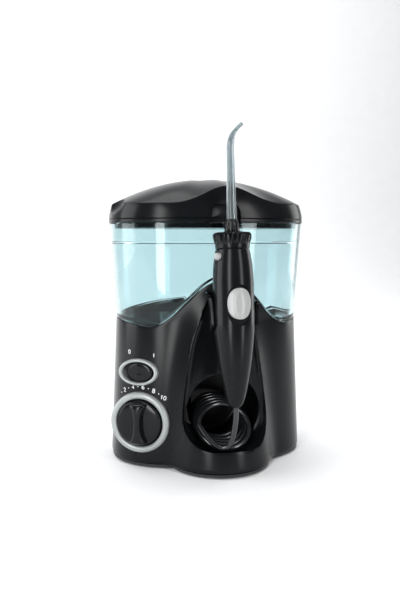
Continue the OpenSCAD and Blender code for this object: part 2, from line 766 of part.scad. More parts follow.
function grip_profile(inset) = [for (p = smooth([[3.6, 0], [5.4, 2.6], [7.4, 9], [9.5, 18.6], [11.7, 31],
    [13.6, 46], [grip_r, 62]], 3)) p - [inset, 0]];
grip_upper = smooth([[grip_r, 92], [13.9, 102], [12.3, grip_len]], 4);

module handle_shell() {
    color([0.16, 0.17, 0.19]) on_handle() difference() {
        union() {
            rotate_extrude($fn = 96) polygon([[0, 0], each grip_profile(0),
                each grip_upper, [0, grip_len]]);
            translate([0, 0, grip_len - 10]) cylinder(h = 20.5, r = neck_r);
        }
        rotate_extrude($fn = 64) polygon([[0, 5], each [for (p = grip_profile(2.2)) if (p[1] > 5) p],
            each [for (p = grip_upper) p - [2.2, 2]], [7, grip_len + 2], [7, grip_len + 20],
            [0, grip_len + 20]]);
        translate([0, 0, -1]) cylinder(h = 10, r = 3.2);
        translate([-1.6, -20, 66]) cube([3.2, 12, 19]);
        translate([-16, 0, 108]) rotate([0, 90, 0]) cylinder(h = 12, r = 2.7);
    }
}

module handle_gland() {
    color([0.1, 0.1, 0.11]) on_handle() difference() {
        union() {
            translate([0, 0, 0]) cylinder(h = 10, r = 3.1);
            translate([0, 0, 7.4]) cylinder(h = 2.6, r = 4);
        }
        translate([0, 0, -1]) cylinder(h = 3.6, r = hose_d / 2 + 0.3);
        cylinder(h = 20, r = 1.2);
    }
}

module valve_block() {
    color([0.8, 0.8, 0.78]) on_handle() difference() {
        union() {
            translate([0, 0, 60]) cylinder(h = 30, r = 8.6);
            translate([-11, -1.5, 66]) cube([22, 3, 18]);
        }
        cylinder(h = 100, r = 1.2);
        translate([0, 0, 59]) cylinder(h = 5, r = 2);
        translate([0, 0, 86]) cylinder(h = 5, r = 2);
        translate([0, -5.2, 62]) cylinder(h = 40, r = 2);
        translate([-1.2, -9, 62]) cube([2.4, 4, 40]);
    }
}

module water_tubes() {
    color([0.85, 0.88, 0.88]) on_handle() {
        for (span = [[10, 64], [86, 104]]) translate([0, 0, span[0]]) ring(1.95, 1.2, span[1] - span[0]);
    }
}

// Oval sliding button that hugs the grip
module pause_button() {
    color([0.93, 0.93, 0.92]) on_handle() {
        intersection() {
            translate([0, -10, 75.8]) rotate([90, 0, 0]) union() {
                oval_plate(8.4, 10.9, 6.6);
                oval_plate(4.4, 8.6, 8);
            }
            translate([0, 0, 60]) difference() {
                cylinder(h = 32, r = grip_r + 2.6);
                translate([0, 0, -1]) cylinder(h = 34, r = grip_r + 0.3);
            }
        }
        translate([-1.2, -grip_r - 1.2, 71]) cube([2.4, grip_r - 4.5, 7]);
    }
}

module pause_spool() {
    color([0.8, 0.8, 0.78]) on_handle() translate([0, -5.2, 69]) difference() {
        cylinder(h = 16, r = 2 - fit);
        translate([-1.2, -4, 1.9]) cube([2.4, 3.5, 7.2]);
    }
}

module eject_button() {
    color([0.93, 0.93, 0.92]) on_handle() translate([-13.9, 0, 108]) rotate([0, 90, 0]) {
        rotate_extrude() polygon([[0, -2.4], [1.4, -2.2], [2.2, -1.6], [2.6, -0.6], [2.6, 3.6],
            [0, 3.6]]);
        translate([0, 0, 3.5]) cylinder(h = 2.2, r = 0.9);
    }
}

module eject_spring() {
    color([0.75, 0.76, 0.78]) on_handle() translate([-9.2, 0, 108]) rotate([0, 90, 0]) ring(1.9, 1.3, 0.8);
}

module eject_latch() {
    color([0.75, 0.76, 0.78]) on_handle() translate([-8.2, 0, 0]) difference() {
        union() {
            translate([0, -1.8, 106.4]) cube([1.2, 3.6, 3.2]);
            translate([0.2, -1.8, 106.4]) cube([5, 3.6, 1]);
            translate([8.2, 0, 106.4]) cylinder(h = 1, r = 5.5);
        }
        translate([8.2, 0, 100]) cylinder(h = 20, r = 4.3);
    }
}

module rotation_collar() {
    color([0.13, 0.14, 0.15]) on_handle() translate([0, 0, collar_z]) difference() {
        rotate_extrude($fn = 96) polygon([[neck_r + fit, 0], [12.2, 0], [12.5, 3], [13.4, 6], [13.8, 8.6],
            [13.6, 10.6], [12.4, collar_t], [5.6, collar_t], [5.6, collar_t - 1.2],
            [neck_r + fit, collar_t - 1.2]]);
        for (i = [0:23]) rotate([0, 0, 15 * i]) translate([14.6, 0, 4.4]) {
            rotate([0, -4, 0]) cylinder(h = 12, r = 1.5, $fn = 24);
        }
    }
}

module tip_socket() {
    color([0.78, 0.78, 0.75]) on_handle() difference() {
        union() {
            translate([0, 0, 109.6]) cylinder(h = collar_z + collar_t - 109.6, r = 5.6);
            translate([0, 0, collar_z + 10.6 - 2.6]) cylinder(h = 1.6, r = 6.6);
        }
        translate([0, 0, 100]) cylinder(h = 40, r = stem_r + 0.1);
    }
}

module socket_seals() {
    color([0.1, 0.1, 0.1]) on_handle() for (z = [113.5]) translate([0, 0, z]) ring(6.4, 5.62, 2);
}

// Clear nozzle: straight tapering tube with a bent end
module jet_tip() {
    bend = [[0, 0, 179], [0, 0, 185.4], [0.8, 0, 191], [2.8, 0, 195.6], [5.4, 0, 199.2], [9.2, 0, 202.8]];
    color([0.8, 0.83, 0.84, 0.5]) on_handle() difference() {
        union() {
            translate([0, 0, 105]) cylinder(h = 24, r = stem_r);
            translate([0, 0, 128]) rotate_extrude() polygon([[0, 0], [3.6, 0], [3.6, 6], [2.75, 51.2],
                [0, 51.2]]);
            sweep(smooth(bend, 3), 2.75, 16);
        }
        translate([0, 0, 104]) cylinder(h = 75.6, r = 1.1);
        sweep(smooth([each bend, [12, 0, 205.6]], 3), 0.9, 10);
    }
}

module tip_cone() {
    color([0.06, 0.06, 0.06]) on_handle() translate([0, 0, collar_z + collar_t + 0.3]) difference() {
        union() {
            rotate_extrude() polygon([[3.6, 0], [5.5, 0], [5.2, 2], [4.2, 9], [3.6, 9]]);
            for (i = [0:7]) rotate([0, 0, 45 * i]) rotate([90, 0, 0]) linear_extrude(height = 1,
                center = true)
                polygon([[3.8, 0.2], [6, 0.2], [4.7, 8.4], [3.8, 8.4]]);
        }
        translate([0, 0, -1]) cylinder(h = 3.8, r = 3.1);
    }
}

base_housing();
base_plate();
feet();
screws();
reservoir_deck();
handle_cradle();
inlet_fitting();
inlet_seal();
dial_ring();
pressure_dial();
valve_stem();
valve_housing();
switch_bezel();
switch_rocker();
switch_body();
rectifier_board();
cord_gland();
pump_frame();
motor_can();
motor_rotor();
motor_bushings();
motor_pinion();
drive_gear();
gear_axle();
connecting_rod();
pump_piston();
piston_seals();
pump_body();
pump_head();
check_valves();
inlet_tube();
outlet_tube();
hose_fitting();
hose_coil();
hose_lead();
hose_tail();
reservoir();
tank_valve();
lid_tray();
lid_cover();
lid_hinge_pin();
stored_tips();
handle_shell();
handle_gland();
valve_block();
water_tubes();
pause_button();
pause_spool();
eject_button();
eject_spring();
eject_latch();
rotation_collar();
tip_socket();
socket_seals();
jet_tip();
tip_cone();
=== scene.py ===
"""Looks of a counter-top water flosser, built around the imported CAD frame. Shapes are in millimetres
until mesh() turns them into metres."""
import json
import math

import bmesh
import bpy
import numpy as np
from mathutils import Matrix, Vector


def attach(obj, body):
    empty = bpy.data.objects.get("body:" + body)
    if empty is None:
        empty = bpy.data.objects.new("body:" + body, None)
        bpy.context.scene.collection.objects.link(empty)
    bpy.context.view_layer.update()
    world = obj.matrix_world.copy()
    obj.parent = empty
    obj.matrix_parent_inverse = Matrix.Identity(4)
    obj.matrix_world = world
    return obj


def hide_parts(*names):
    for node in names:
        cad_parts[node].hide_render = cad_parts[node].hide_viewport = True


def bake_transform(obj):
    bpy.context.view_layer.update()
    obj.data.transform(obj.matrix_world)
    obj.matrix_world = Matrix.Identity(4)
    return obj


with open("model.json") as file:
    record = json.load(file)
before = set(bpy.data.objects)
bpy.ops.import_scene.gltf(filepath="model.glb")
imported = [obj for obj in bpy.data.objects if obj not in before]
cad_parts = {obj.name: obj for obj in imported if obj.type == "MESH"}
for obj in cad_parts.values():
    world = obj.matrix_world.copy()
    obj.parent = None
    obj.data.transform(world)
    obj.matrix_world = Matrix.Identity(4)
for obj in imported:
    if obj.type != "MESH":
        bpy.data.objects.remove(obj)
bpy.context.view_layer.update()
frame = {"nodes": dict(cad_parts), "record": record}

MM = 0.001
MID_Y = 17.0
SQUARE = 2.4
WALL = 2.4
TANK_TOP = 186.0
LEAN = math.radians(5)
TURN = math.radians(30)
GRIP_Y, GRIP_Z = -63.6, 54.0
GRIP_R = 14.7
DIAL_AT = Vector((-61.2, -17.1, 35.0))
SWITCH_AT = Vector((-62.0, -16.5, 73.6))
HOSE_D = 4.0


# ---------- mesh helpers ----------

def mesh(name, verts, faces, sharp=35.0):
    """A mesh object from points in millimetres; edges sharper than the angle stay crisp."""
    data = bpy.data.meshes.new(name)
    data.from_pydata([tuple(c * MM for c in v) for v in verts], [], faces)
    data.validate()
    data.update()
    obj = bpy.data.objects.new(name, data)
    bpy.context.scene.collection.objects.link(obj)
    tidy_normals(obj)
    data.shade_smooth()
    data.set_sharp_from_angle(angle=math.radians(sharp))
    return obj


def tidy_normals(obj):
    bm = bmesh.new()
    bm.from_mesh(obj.data)
    bmesh.ops.recalc_face_normals(bm, faces=bm.faces)
    bm.to_mesh(obj.data)
    bm.free()


def skin(name, rings, cap_start=True, cap_end=True, loop=False, sharp=35.0):
    """Quads between rings of equal length, with a point fan on each open end."""
    count = len(rings[0])
    verts = [tuple(p) for ring in rings for p in ring]
    faces = []
    span = len(rings) if loop else len(rings) - 1
    for j in range(span):
        a, b = j * count, ((j + 1) % len(rings)) * count
        faces += [(a + i, a + (i + 1) % count, b + (i + 1) % count, b + i) for i in range(count)]
    for wanted, start in ((cap_start, 0), (cap_end, (len(rings) - 1) * count)):
        if wanted and not loop:
            ring = verts[start:start + count]
            verts.append(tuple(sum(p[k] for p in ring) / count for k in range(3)))
            faces += [(start + i, start + (i + 1) % count, len(verts) - 1) for i in range(count)]
    return mesh(name, verts, faces, sharp)


def spline(points, steps=6):
    """Catmull-Rom curve through points of any dimension."""
    pts = [np.array(p, float) for p in points]
    out = []
    for i in range(len(pts) - 1):
        a, b, c, d = pts[max(i - 1, 0)], pts[i], pts[i + 1], pts[min(i + 2, len(pts) - 1)]
        for k in range(steps):
            t = k / steps
            out.append(0.5 * (2 * b + (c - a) * t + (2 * a - 5 * b + 4 * c - d) * t * t
                              + (3 * b - a - 3 * c + d) * t ** 3))
    out.append(pts[-1])
    return out


def lathe(name, profile, place=None, segs=96, loop=False, sharp=35.0):
    """Revolves (radius, height) points about local Z, then puts them in place."""
    place = place or Matrix.Identity(4)
    rings = []
    for r, z in profile:
        rings.append([place @ Vector((r * math.cos(2 * math.pi * i / segs),
                                      r * math.sin(2 * math.pi * i / segs), z)) for i in range(segs)])
    return skin(name, rings, loop=loop, sharp=sharp)


def tube_rings(path, radius, sides):
    """Rings carried along a path without twisting."""
    pts = [Vector(p) for p in path]
    side = Vector((1, 0, 0.02))
    rings = []
    for i, p in enumerate(pts):
        t = (pts[min(i + 1, len(pts) - 1)] - pts[max(i - 1, 0)]).normalized()
        side = (side - t * side.dot(t)).normalized()
        other = t.cross(side)
        r = radius(i / (len(pts) - 1)) if callable(radius) else radius
        rings.append([p + r * (math.cos(2 * math.pi * k / sides) * side
                               + math.sin(2 * math.pi * k / sides) * other) for k in range(sides)])
    return rings


def block(name, low, high, place=None):
    x, y, z = zip(low, high)
    verts = [(x[i], y[j], z[k]) for i in (0, 1) for j in (0, 1) for k in (0, 1)]
    faces = [(0, 1, 3, 2), (4, 6, 7, 5), (0, 4, 5, 1), (2, 3, 7, 6), (0, 2, 6, 4), (1, 5, 7, 3)]
    if place:
        verts = [place @ Vector(v) for v in verts]
    return mesh(name, verts, faces)


def modify(obj, kind, **settings):
    """Adds a modifier and applies it at once."""
    mod = obj.modifiers.new(kind, kind)
    for key, value in settings.items():
        setattr(mod, key, value)
    bpy.context.view_layer.update()
    graph = bpy.context.evaluated_depsgraph_get()
    data = bpy.data.meshes.new_from_object(obj.evaluated_get(graph), depsgraph=graph)
    obj.modifiers.remove(mod)
    old = obj.data
    obj.data = data
    bpy.data.meshes.remove(old)


def cut(obj, *tools):
    for tool in tools:
        modify(obj, "BOOLEAN", operation="DIFFERENCE", solver="EXACT", object=tool)
        bpy.data.objects.remove(tool)


def crisp(obj, angle=35.0):
    obj.data.shade_smooth()
    obj.data.set_sharp_from_angle(angle=math.radians(angle))


# ---------- materials ----------

def material(name, colour, rough, metal=0.0, coat=0.0, bump=0.02, grain=900.0, tint=0.08,
             spread=0.05, glass=0.0, ior=1.49, alpha=1.0):
    """Moulded-surface material: fine grain in the bump and slow drifts in colour and roughness."""
    m = bpy.data.materials.new(name)
    m.use_nodes = True
    nodes, links = m.node_tree.nodes, m.node_tree.links
    shader = nodes["Principled BSDF"]
    shader.inputs["Metallic"].default_value = metal
    shader.inputs["IOR"].default_value = ior
    shader.inputs["Coat Weight"].default_value = coat
    shader.inputs["Coat Roughness"].default_value = 0.08
    shader.inputs["Transmission Weight"].default_value = glass
    shader.inputs["Alpha"].default_value = alpha
    where = nodes.new("ShaderNodeTexCoord")
    drift = nodes.new("ShaderNodeTexNoise")
    drift.inputs["Scale"].default_value = 28.0
    drift.inputs["Detail"].default_value = 3.0
    fine = nodes.new("ShaderNodeTexNoise")
    fine.inputs["Scale"].default_value = grain
    fine.inputs["Detail"].default_value = 2.0
    links.new(where.outputs["Object"], drift.inputs["Vector"])
    links.new(where.outputs["Object"], fine.inputs["Vector"])
    ramp = nodes.new("ShaderNodeValToRGB")
    dark = [c * (1 - tint) for c in colour]
    light = [min(1.0, c * (1 + tint)) for c in colour]
    ramp.color_ramp.elements[0].position = 0.3
    ramp.color_ramp.elements[1].position = 0.7
    ramp.color_ramp.elements[0].color = (*dark, 1)
    ramp.color_ramp.elements[1].color = (*light, 1)
    links.new(drift.outputs["Fac"], ramp.inputs["Fac"])
    links.new(ramp.outputs["Color"], shader.inputs["Base Color"])
    rough_map = nodes.new("ShaderNodeMapRange")
    rough_map.inputs["To Min"].default_value = max(0.0, rough - spread)
    rough_map.inputs["To Max"].default_value = min(1.0, rough + spread)
    links.new(fine.outputs["Fac"], rough_map.inputs["Value"])
    links.new(rough_map.outputs["Result"], shader.inputs["Roughness"])
    relief = nodes.new("ShaderNodeBump")
    relief.inputs["Strength"].default_value = bump
    relief.inputs["Distance"].default_value = 0.0004
    links.new(fine.outputs["Fac"], relief.inputs["Height"])
    links.new(relief.outputs["Normal"], shader.inputs["Normal"])
    return m


LOOKS = {
    "housing_black": material("housing_black", (0.0045, 0.0052, 0.0062), 0.22, bump=0.006, spread=0.03,
        ior=1.26),
    "inner_black": material("inner_black", (0.01, 0.011, 0.013), 0.5, bump=0.1, grain=1400),
    "foot_rubber": material("foot_rubber", (0.012, 0.012, 0.012), 0.75, bump=0.3, grain=1800),
    "seal_rubber": material("seal_rubber", (0.012, 0.012, 0.013), 0.6, bump=0.2, grain=1600),
    "steel": material("steel", (0.62, 0.63, 0.65), 0.28, metal=1.0, bump=0.06),
    "clear_tank": material("clear_tank", (0.655, 0.80, 0.82), 0.02, glass=1.0, bump=0.004, grain=120,
        tint=0.01,
                           spread=0.015, ior=1.3),
    "silver_trim": material("silver_trim", (0.33, 0.35, 0.35), 0.4, metal=0.4, coat=0.2, bump=0.02),
    "dial_black": material("dial_black", (0.005, 0.0056, 0.0066), 0.14, coat=0.12, bump=0.006,
        spread=0.03, ior=1.26),
    "white_button": material("white_button", (0.34, 0.35, 0.345), 0.32, coat=0.1, bump=0.02, tint=0.02),
    "clear_tip": material("clear_tip", (0.42, 0.48, 0.50), 0.04, glass=0.9, bump=0.006, tint=0.02,
        spread=0.02,
                          ior=1.36),
    "natural_plastic": material("natural_plastic", (0.62, 0.62, 0.58), 0.45, bump=0.1),
    "gear_plastic": material("gear_plastic", (0.74, 0.73, 0.66), 0.4, bump=0.1),
    "hose_black": material("hose_black", (0.009, 0.01, 0.012), 0.2, coat=0.35, bump=0.01),
    "clear_tube": material("clear_tube", (0.7, 0.73, 0.73), 0.3, glass=0.4, bump=0.05),
    "zinc": material("zinc", (0.5, 0.52, 0.53), 0.45, metal=0.9, bump=0.3, grain=700),
    "motor_steel": material("motor_steel", (0.5, 0.51, 0.52), 0.35, metal=1.0, bump=0.1),
    "copper": material("copper", (0.6, 0.32, 0.18), 0.4, metal=0.9, bump=0.4, grain=2200),
    "bronze": material("bronze", (0.55, 0.4, 0.2), 0.45, metal=0.9, bump=0.3),
    "board_green": material("board_green", (0.03, 0.16, 0.07), 0.4, coat=0.4, bump=0.1, tint=0.3),
}
MARK = material("mark_white", (0.8, 0.82, 0.83), 0.5, bump=0.05, tint=0.03)


def dress(obj, look, body, *replaced, slot=None):
    """Gives a piece its material, its body and the CAD nodes that it stands for."""
    obj.data.materials.clear()
    obj.data.materials.append(LOOKS[look] if look in LOOKS else look)
    if body:
        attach(obj, body)
    if replaced:
        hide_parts(*replaced)
    return obj


# ---------- camera and hose ----------

def camera():
    eye = Vector((-0.1428, -0.4994, 0.175))
    forward = Vector((0.2566, 0.9618, -0.0953)).normalized()
    data = bpy.data.cameras.new("camera")
    data.lens = 39.27
    data.sensor_width = 36.0
    data.clip_start = 0.01
    obj = bpy.data.objects.new("camera", data)
    obj.location = eye
    obj.rotation_euler = forward.to_track_quat("-Z", "Y").to_euler()
    bpy.context.scene.collection.objects.link(obj)
    bpy.context.scene.camera = obj


COIL_R = 19.8
COIL_TILT = math.radians(45)
COIL_TURNS = 5.18
COIL_AT = np.array((0.0, -38.0, 32.0))
COIL_STEP = np.array((0.0, 6.2, 0.5))
LEAD = [(0, -63.8, 55), (0, -64, 50), (-0.2, -63.6, 44), (-0.6, -62.6, 38), (-1.2, -61, 32),
        (-2.2, -58.4, 26.4), (-3.6, -55.4, 22.3), (-5.8, -52.6, 20)]
TAIL = [(-19.6, -1.5, 38.2), (-18.6, 3, 41.2), (-17.2, 7, 43.2), (-16.2, 10, 43.9), (-16, 12.9, 44)]


def coil_point(turn):
    """Point on the hose after so many turns from the bottom of the first one, going left and up."""
    angle = math.radians(-115) - 2 * math.pi * turn
    centre = COIL_AT + COIL_STEP * turn
    across, along = COIL_R * math.cos(angle), COIL_R * math.sin(angle)
    return centre + np.array((across, along * math.cos(COIL_TILT), along * math.sin(COIL_TILT)))


def length_of(path):
    return sum(float(np.linalg.norm(np.array(b) - np.array(a))) for a, b in zip(path, path[1:]))


def hose():
    """One free cord: down from the handle, round the leaning turns and into its fitting."""
    turns = [coil_point(k / 48) for k in range(int(COIL_TURNS * 48) + 1)]
    lead = spline(LEAD + [turns[0], turns[2], turns[4]], 6)[:-12]
    path = [Vector(p) for p in lead + turns[2:-4] + spline(turns[-4:] + TAIL, 3)]
    for _ in range(60):
        eased = [(a + b) / 2 for a, b in zip(path, path[2:])]
        for i in list(range(len(lead) - 14, len(lead) + 8)) + list(range(len(path) - 24, len(path) - 3)):
            path[i] = path[i].lerp(eased[i - 1], 0.5)
    piece = skin("hose_tube", tube_rings(path, HOSE_D / 2, 20))
    dress(piece, "hose_black", None, "hose_lead", "hose_coil", "hose_tail")
    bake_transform(piece)


camera()
hose()


# ---------- base ----------

def sgn_pow(v, e):
    return math.copysign(abs(v) ** e, v)


def base_size(z, inset=0.0):
    if z < 113:
        a, b = 78 - 5.0 * z / 113, 50.5 - 2.5 * z / 113
    else:
        a, b = 73 + 4.6 * (z - 113) / 73, 48 + 6.0 * (z - 113) / 73
    return a - inset, b - inset


def oval_reach(a, b, angle):
    """Distance from the middle of a rounded oval to its edge."""
    c, s = abs(math.cos(angle)), abs(math.sin(angle))
    return ((c / a) ** SQUARE + (s / b) ** SQUARE) ** (-1 / SQUARE)


def toe_reach(z, angle, inset=0.0):
    """Distance from the oval's middle to the far side of the toe, a circle that bulges to the right."""
    y0 = -21 + 14 * z / 150 - MID_Y
    r = 40 - 10 * z / 150 - inset
    c, s = math.cos(angle), math.sin(angle)
    along = y0 * s
    inside = r * r - (y0 * c) ** 2
    if inside <= 0:
        return 0.0
    return along + math.sqrt(inside) + 2.0 * max(0.0, c) * (1 - z / 150)


def soft_max(a, b, k=3.0):
    h = max(k - abs(a - b), 0.0) / k
    return max(a, b) + h * h * k * 0.25


def body_reach(z, angle, inset=0.0):
    a, b = base_size(z, inset)
    return soft_max(oval_reach(a, b, angle), toe_reach(z, angle, inset), 13.0)


WAVE_LOW = 108.4
WAVE_RISE = 35
HALF_WAVE = 54
EDGE_REACH = 72.5
SIDE_RIM = 111.6
REAR_RIM = 121
CRADLE_LOW = 54.5
CRADLE_STEP = 0.6


def wave(x):
    if abs(x) < HALF_WAVE:
        return WAVE_LOW + WAVE_RISE * (0.5 + 0.5 * math.cos(math.pi * x / HALF_WAVE)) ** 0.88
    outside = min((abs(x) - HALF_WAVE) / (EDGE_REACH - HALF_WAVE), 1.0)
    return WAVE_LOW + (SIDE_RIM - WAVE_LOW) * outside ** 2


def edge_height(angle):
    """Height of the base's top edge in a direction seen from above."""
    a, b = base_size(116)
    x = oval_reach(a, b, angle) * math.cos(angle)
    if math.sin(angle) < 0:
        return wave(x)
    return REAR_RIM - (REAR_RIM - SIDE_RIM) * (x / EDGE_REACH) ** 2


def directions(count):
    """Directions around the object, closer together towards the front."""
    out = []
    for i in range(count):
        u = 2 * math.pi * i / count
        out.append(u + 0.35 * math.cos(u))
    return out


def at(reach, angle, z):
    return (reach * math.cos(angle), MID_Y + reach * math.sin(angle), z)


def base_shell():
    angles = directions(360)
    rings = []
    low = 3.3
    for inset, z in ((9.0, low), (2.0, low), (1.0, low + 0.15), (0.35, low + 0.6), (0.06, low + 1.4)):
        rings.append([at(body_reach(z, a) - inset, a, z) for a in angles])
    for k in range(1, 57):
        t = k / 57
        rings.append([at(body_reach(low + 1.4 + t * (edge_height(a) - low - 2.0), a), a,
                         low + 1.4 + t * (edge_height(a) - low - 2.0)) for a in angles])
    for inset, drop in ((0.0, 0.55), (0.12, 0.25), (0.4, 0.0)):
        rings.append([at(body_reach(edge_height(a), a) - inset, a, edge_height(a) - drop) for a in angles])

    def inner(angle, z):
        a, b = base_size(z, WALL)
        return oval_reach(a, b, angle)
    rings.append([at(inner(a, edge_height(a)) + 0.3, a, edge_height(a)) for a in angles])
    rings.append([at(inner(a, edge_height(a)), a, edge_height(a) - 0.3) for a in angles])
    for t in (0.2, 0.4, 0.6, 0.8, 1.0):
        rings.append([at(inner(a, edge_height(a) + t * (103.6 - edge_height(a))), a,
                         edge_height(a) + t * (103.6 - edge_height(a))) for a in angles])
    shell = skin("base_shell", rings)
    cut(shell, niche_tool(), cavity_tool(), *control_tools())
    bm = bmesh.new()
    bm.from_mesh(shell.data)
    bmesh.ops.remove_doubles(bm, verts=bm.verts, dist=0.00006)
    bm.to_mesh(shell.data)
    bm.free()
    modify(shell, "BEVEL", width=0.0005, segments=2, limit_method="ANGLE", angle_limit=math.radians(38),
           harden_normals=False)
    crisp(shell, 50)
    return dress(shell, "housing_black", "base", "base_housing")


NICHE = [(0, 15.6), (11, 16.6), (20, 20), (27, 25.4), (31.5, 33), (33, 43), (31.6, 61), (29, 80), (26, 97),
         (21, 112), (15, 128), (9.5, 135), (4.5, 138.2), (0, 139)]


def niche_ring(grow, count=160):
    """Egg-shaped outline of the niche, grown or shrunk about its middle."""
    right = [np.array(p) for p in spline(NICHE, 10)]
    both = right + [np.array((-p[0], p[1])) for p in right[::-1][1:-1]]
    steps = [0.0]
    for a, b in zip(both, both[1:] + both[:1]):
        steps.append(steps[-1] + float(np.linalg.norm(b - a)))
    ring = []
    for i in range(count):
        d = steps[-1] * i / count
        k = max(j for j in range(len(both)) if steps[j] <= d)
        t = (d - steps[k]) / (steps[k + 1] - steps[k])
        p = both[k] * (1 - t) + both[(k + 1) % len(both)] * t
        ring.append((p[0] * grow, 62 + (p[1] - 62) * (1 + (grow - 1) * 0.45)))
    return ring


def niche_tool():
    """Dish with a soft floor; it leans forwards with height and its lower lip climbs towards the front."""
    levels = []
    for y, grow in ((-90, 1.34), (-72, 1.17), (-64, 1.13), (-60, 1.108), (-56, 1.09), (-51, 1.065),
            (-46, 1.04), (-39, 1.01), (-36, 0.995), (-34, 0.965),
                    (-32.6, 0.92), (-31.7, 0.86), (-31.2, 0.78), (-31, 0.6), (-31, 0.2)):
        climb = 4.0 * max(-y - 41, 0) / 31 + 2.8 * min(max(-y - 50, 0) / 9, 1.3) ** 1.5
        wide = 1 + 0.12 * min(max(-y - 36, 0) / 20, 1.0)
        levels.append([(x * (wide if x > 0 else 1), y - 0.035 * (z - 43.5),
                z + climb * max(40 - z, 0) / 24.4)
                       for x, z in niche_ring(grow)])
    return skin("niche_tool", levels)


def cavity_tool():
    place = Matrix.Translation((0, 15, 43.5)) @ Matrix.Rotation(math.radians(90), 4, "X")
    return lathe("cavity_tool", [(0.01, 0), (25, 0), (27.4, 0.8), (28.6, 2.4), (29, 5), (29, 56),
            (29.3, 58),
                                 (29.8, 59.4), (30, 61), (0.01, 61)], place, 128)


def wing_place(where):
    """Local X runs to the right along the left wing, Y up and Z straight out of it."""
    upright = Matrix.Rotation(math.radians(90), 4, "X")
    return Matrix.Translation(where) @ Matrix.Rotation(-TURN, 4, "Z") @ upright


def control_tools():
    dial = lathe("dial_tool", [(0.01, -16), (18.2, -16), (18.2, 30), (0.01, 30)], wing_place(DIAL_AT), 64)
    rings = []
    for z in (-26, 30):
        rings.append([wing_place(SWITCH_AT) @ Vector((13.8 * math.cos(t), 8.9 * math.sin(t), z))
                      for t in (2 * math.pi * i / 64 for i in range(64))])
    return dial, skin("switch_tool", rings)


base_shell()

# ---------- tank ----------


def tank():
    """Clear tank: its lower plug sits inside the base's rim, and its upper wall stands above the wave."""
    angles = directions(288)
    plug = WALL + 0.6

    def wall(angle, z, inset):
        a, b = base_size(z, inset)
        return oval_reach(a, b, angle)

    def ring(level, inset):
        return [at(wall(a, level(a), inset), a, level(a)) for a in angles]
    rings = [[at(wall(a, 107.4, plug) * f, a, 107.4) for a in angles] for f in (0.02, 0.5, 0.9)]
    rings += [ring(lambda a: 107.4, plug + 1.2), ring(lambda a: 107.9, plug + 0.3),
            ring(lambda a: 108.4, plug)]
    step = lambda a: edge_height(a) + 0.4
    for t in (0.33, 0.66):
        rings.append(ring(lambda a: 108.4 + t * (step(a) - 108.4), plug))
    rings += [ring(step, plug), ring(step, 0.5), ring(lambda a: step(a) + 0.15, 0.12),
              ring(lambda a: step(a) + 0.6, 0.0)]
    for k in range(1, 12):
        rings.append(ring(lambda a: step(a) + 0.6 + k / 12 * (TANK_TOP - 1.1 - step(a)), 0.0))
    rings += [ring(lambda a: TANK_TOP - 0.5, 0.0), ring(lambda a: TANK_TOP - 0.1, 0.4),
              ring(lambda a: TANK_TOP - 0.1, 2.0), ring(lambda a: TANK_TOP - 0.5, 2.4)]
    # moulded fill line: a small step on the inside
    rings += [ring(lambda a: 172.0, 2.4), ring(lambda a: 171.4, 2.9), ring(lambda a: 170.8, 2.9),
              ring(lambda a: 170.2, 2.4)]
    for k in range(1, 8):
        rings.append(ring(lambda a: 170.2 + k / 8 * (step(a) + 3.4 - 170.2), 2.4))
    foot = lambda a: max(step(a) + 0.4, 110.9)
    rings += [ring(lambda a: step(a) + 3.2, 2.6), ring(lambda a: step(a) + 2.5, 3.4),
              ring(lambda a: max(step(a) + 1.6, 111.1), plug + 1.6), ring(foot, plug + 2.1)]
    for t in (0.33, 0.66):
        rings.append(ring(lambda a: foot(a) + t * (110.9 - foot(a)), plug + 2.1))
    rings += [ring(lambda a: 110.9, plug + 2.2), ring(lambda a: 110.3, plug + 2.9),
            ring(lambda a: 110.0, plug + 5)]
    rings += [[at(wall(a, 110, plug) * f, a, 110) for a in angles] for f in (0.8, 0.4, 0.02)]
    body = skin("tank_shell", rings)
    return dress(body, "clear_tank", "tank", "reservoir")


tank()

# ---------- lid ----------

LID_A, LID_B = 78.2, 55.0


def crease(x):
    """Height of the wavy crease across the lid's front."""
    u = min(abs(x - 5) / 50, 1.0)
    return 199 + 14 * (1 + math.cos(math.pi * u)) / 2


def lid_point(angle, s):
    """Point on the lid: s from 0 at the bottom edge, over the shoulder at 1, to 2 at the middle."""
    front = max(0.0, -math.sin(angle))
    reach = oval_reach(LID_A, LID_B, angle)
    shoulder_in = 0.968 - 0.10 * front ** 2 * math.exp(-((reach * math.cos(angle) - 5) / 34) ** 2)
    x_here = reach * math.cos(angle)
    shoulder_z = 201 + front ** 1.5 * (crease(x_here) - 201)
    if s <= 1:
        r = reach * (1 + (shoulder_in - 1) * s ** 1.6)
        z = TANK_TOP + 3.3 + (shoulder_z - TANK_TOP - 3.3) * s
        return (r * math.cos(angle), MID_Y + r * math.sin(angle), z)
    t = s - 1
    rim_r = reach * shoulder_in
    r = rim_r * (1 - t)
    rise = 1 - (1 - t) ** 2
    z = shoulder_z + (221 - shoulder_z) * rise
    return (r * math.cos(angle), MID_Y + r * math.sin(angle), z)


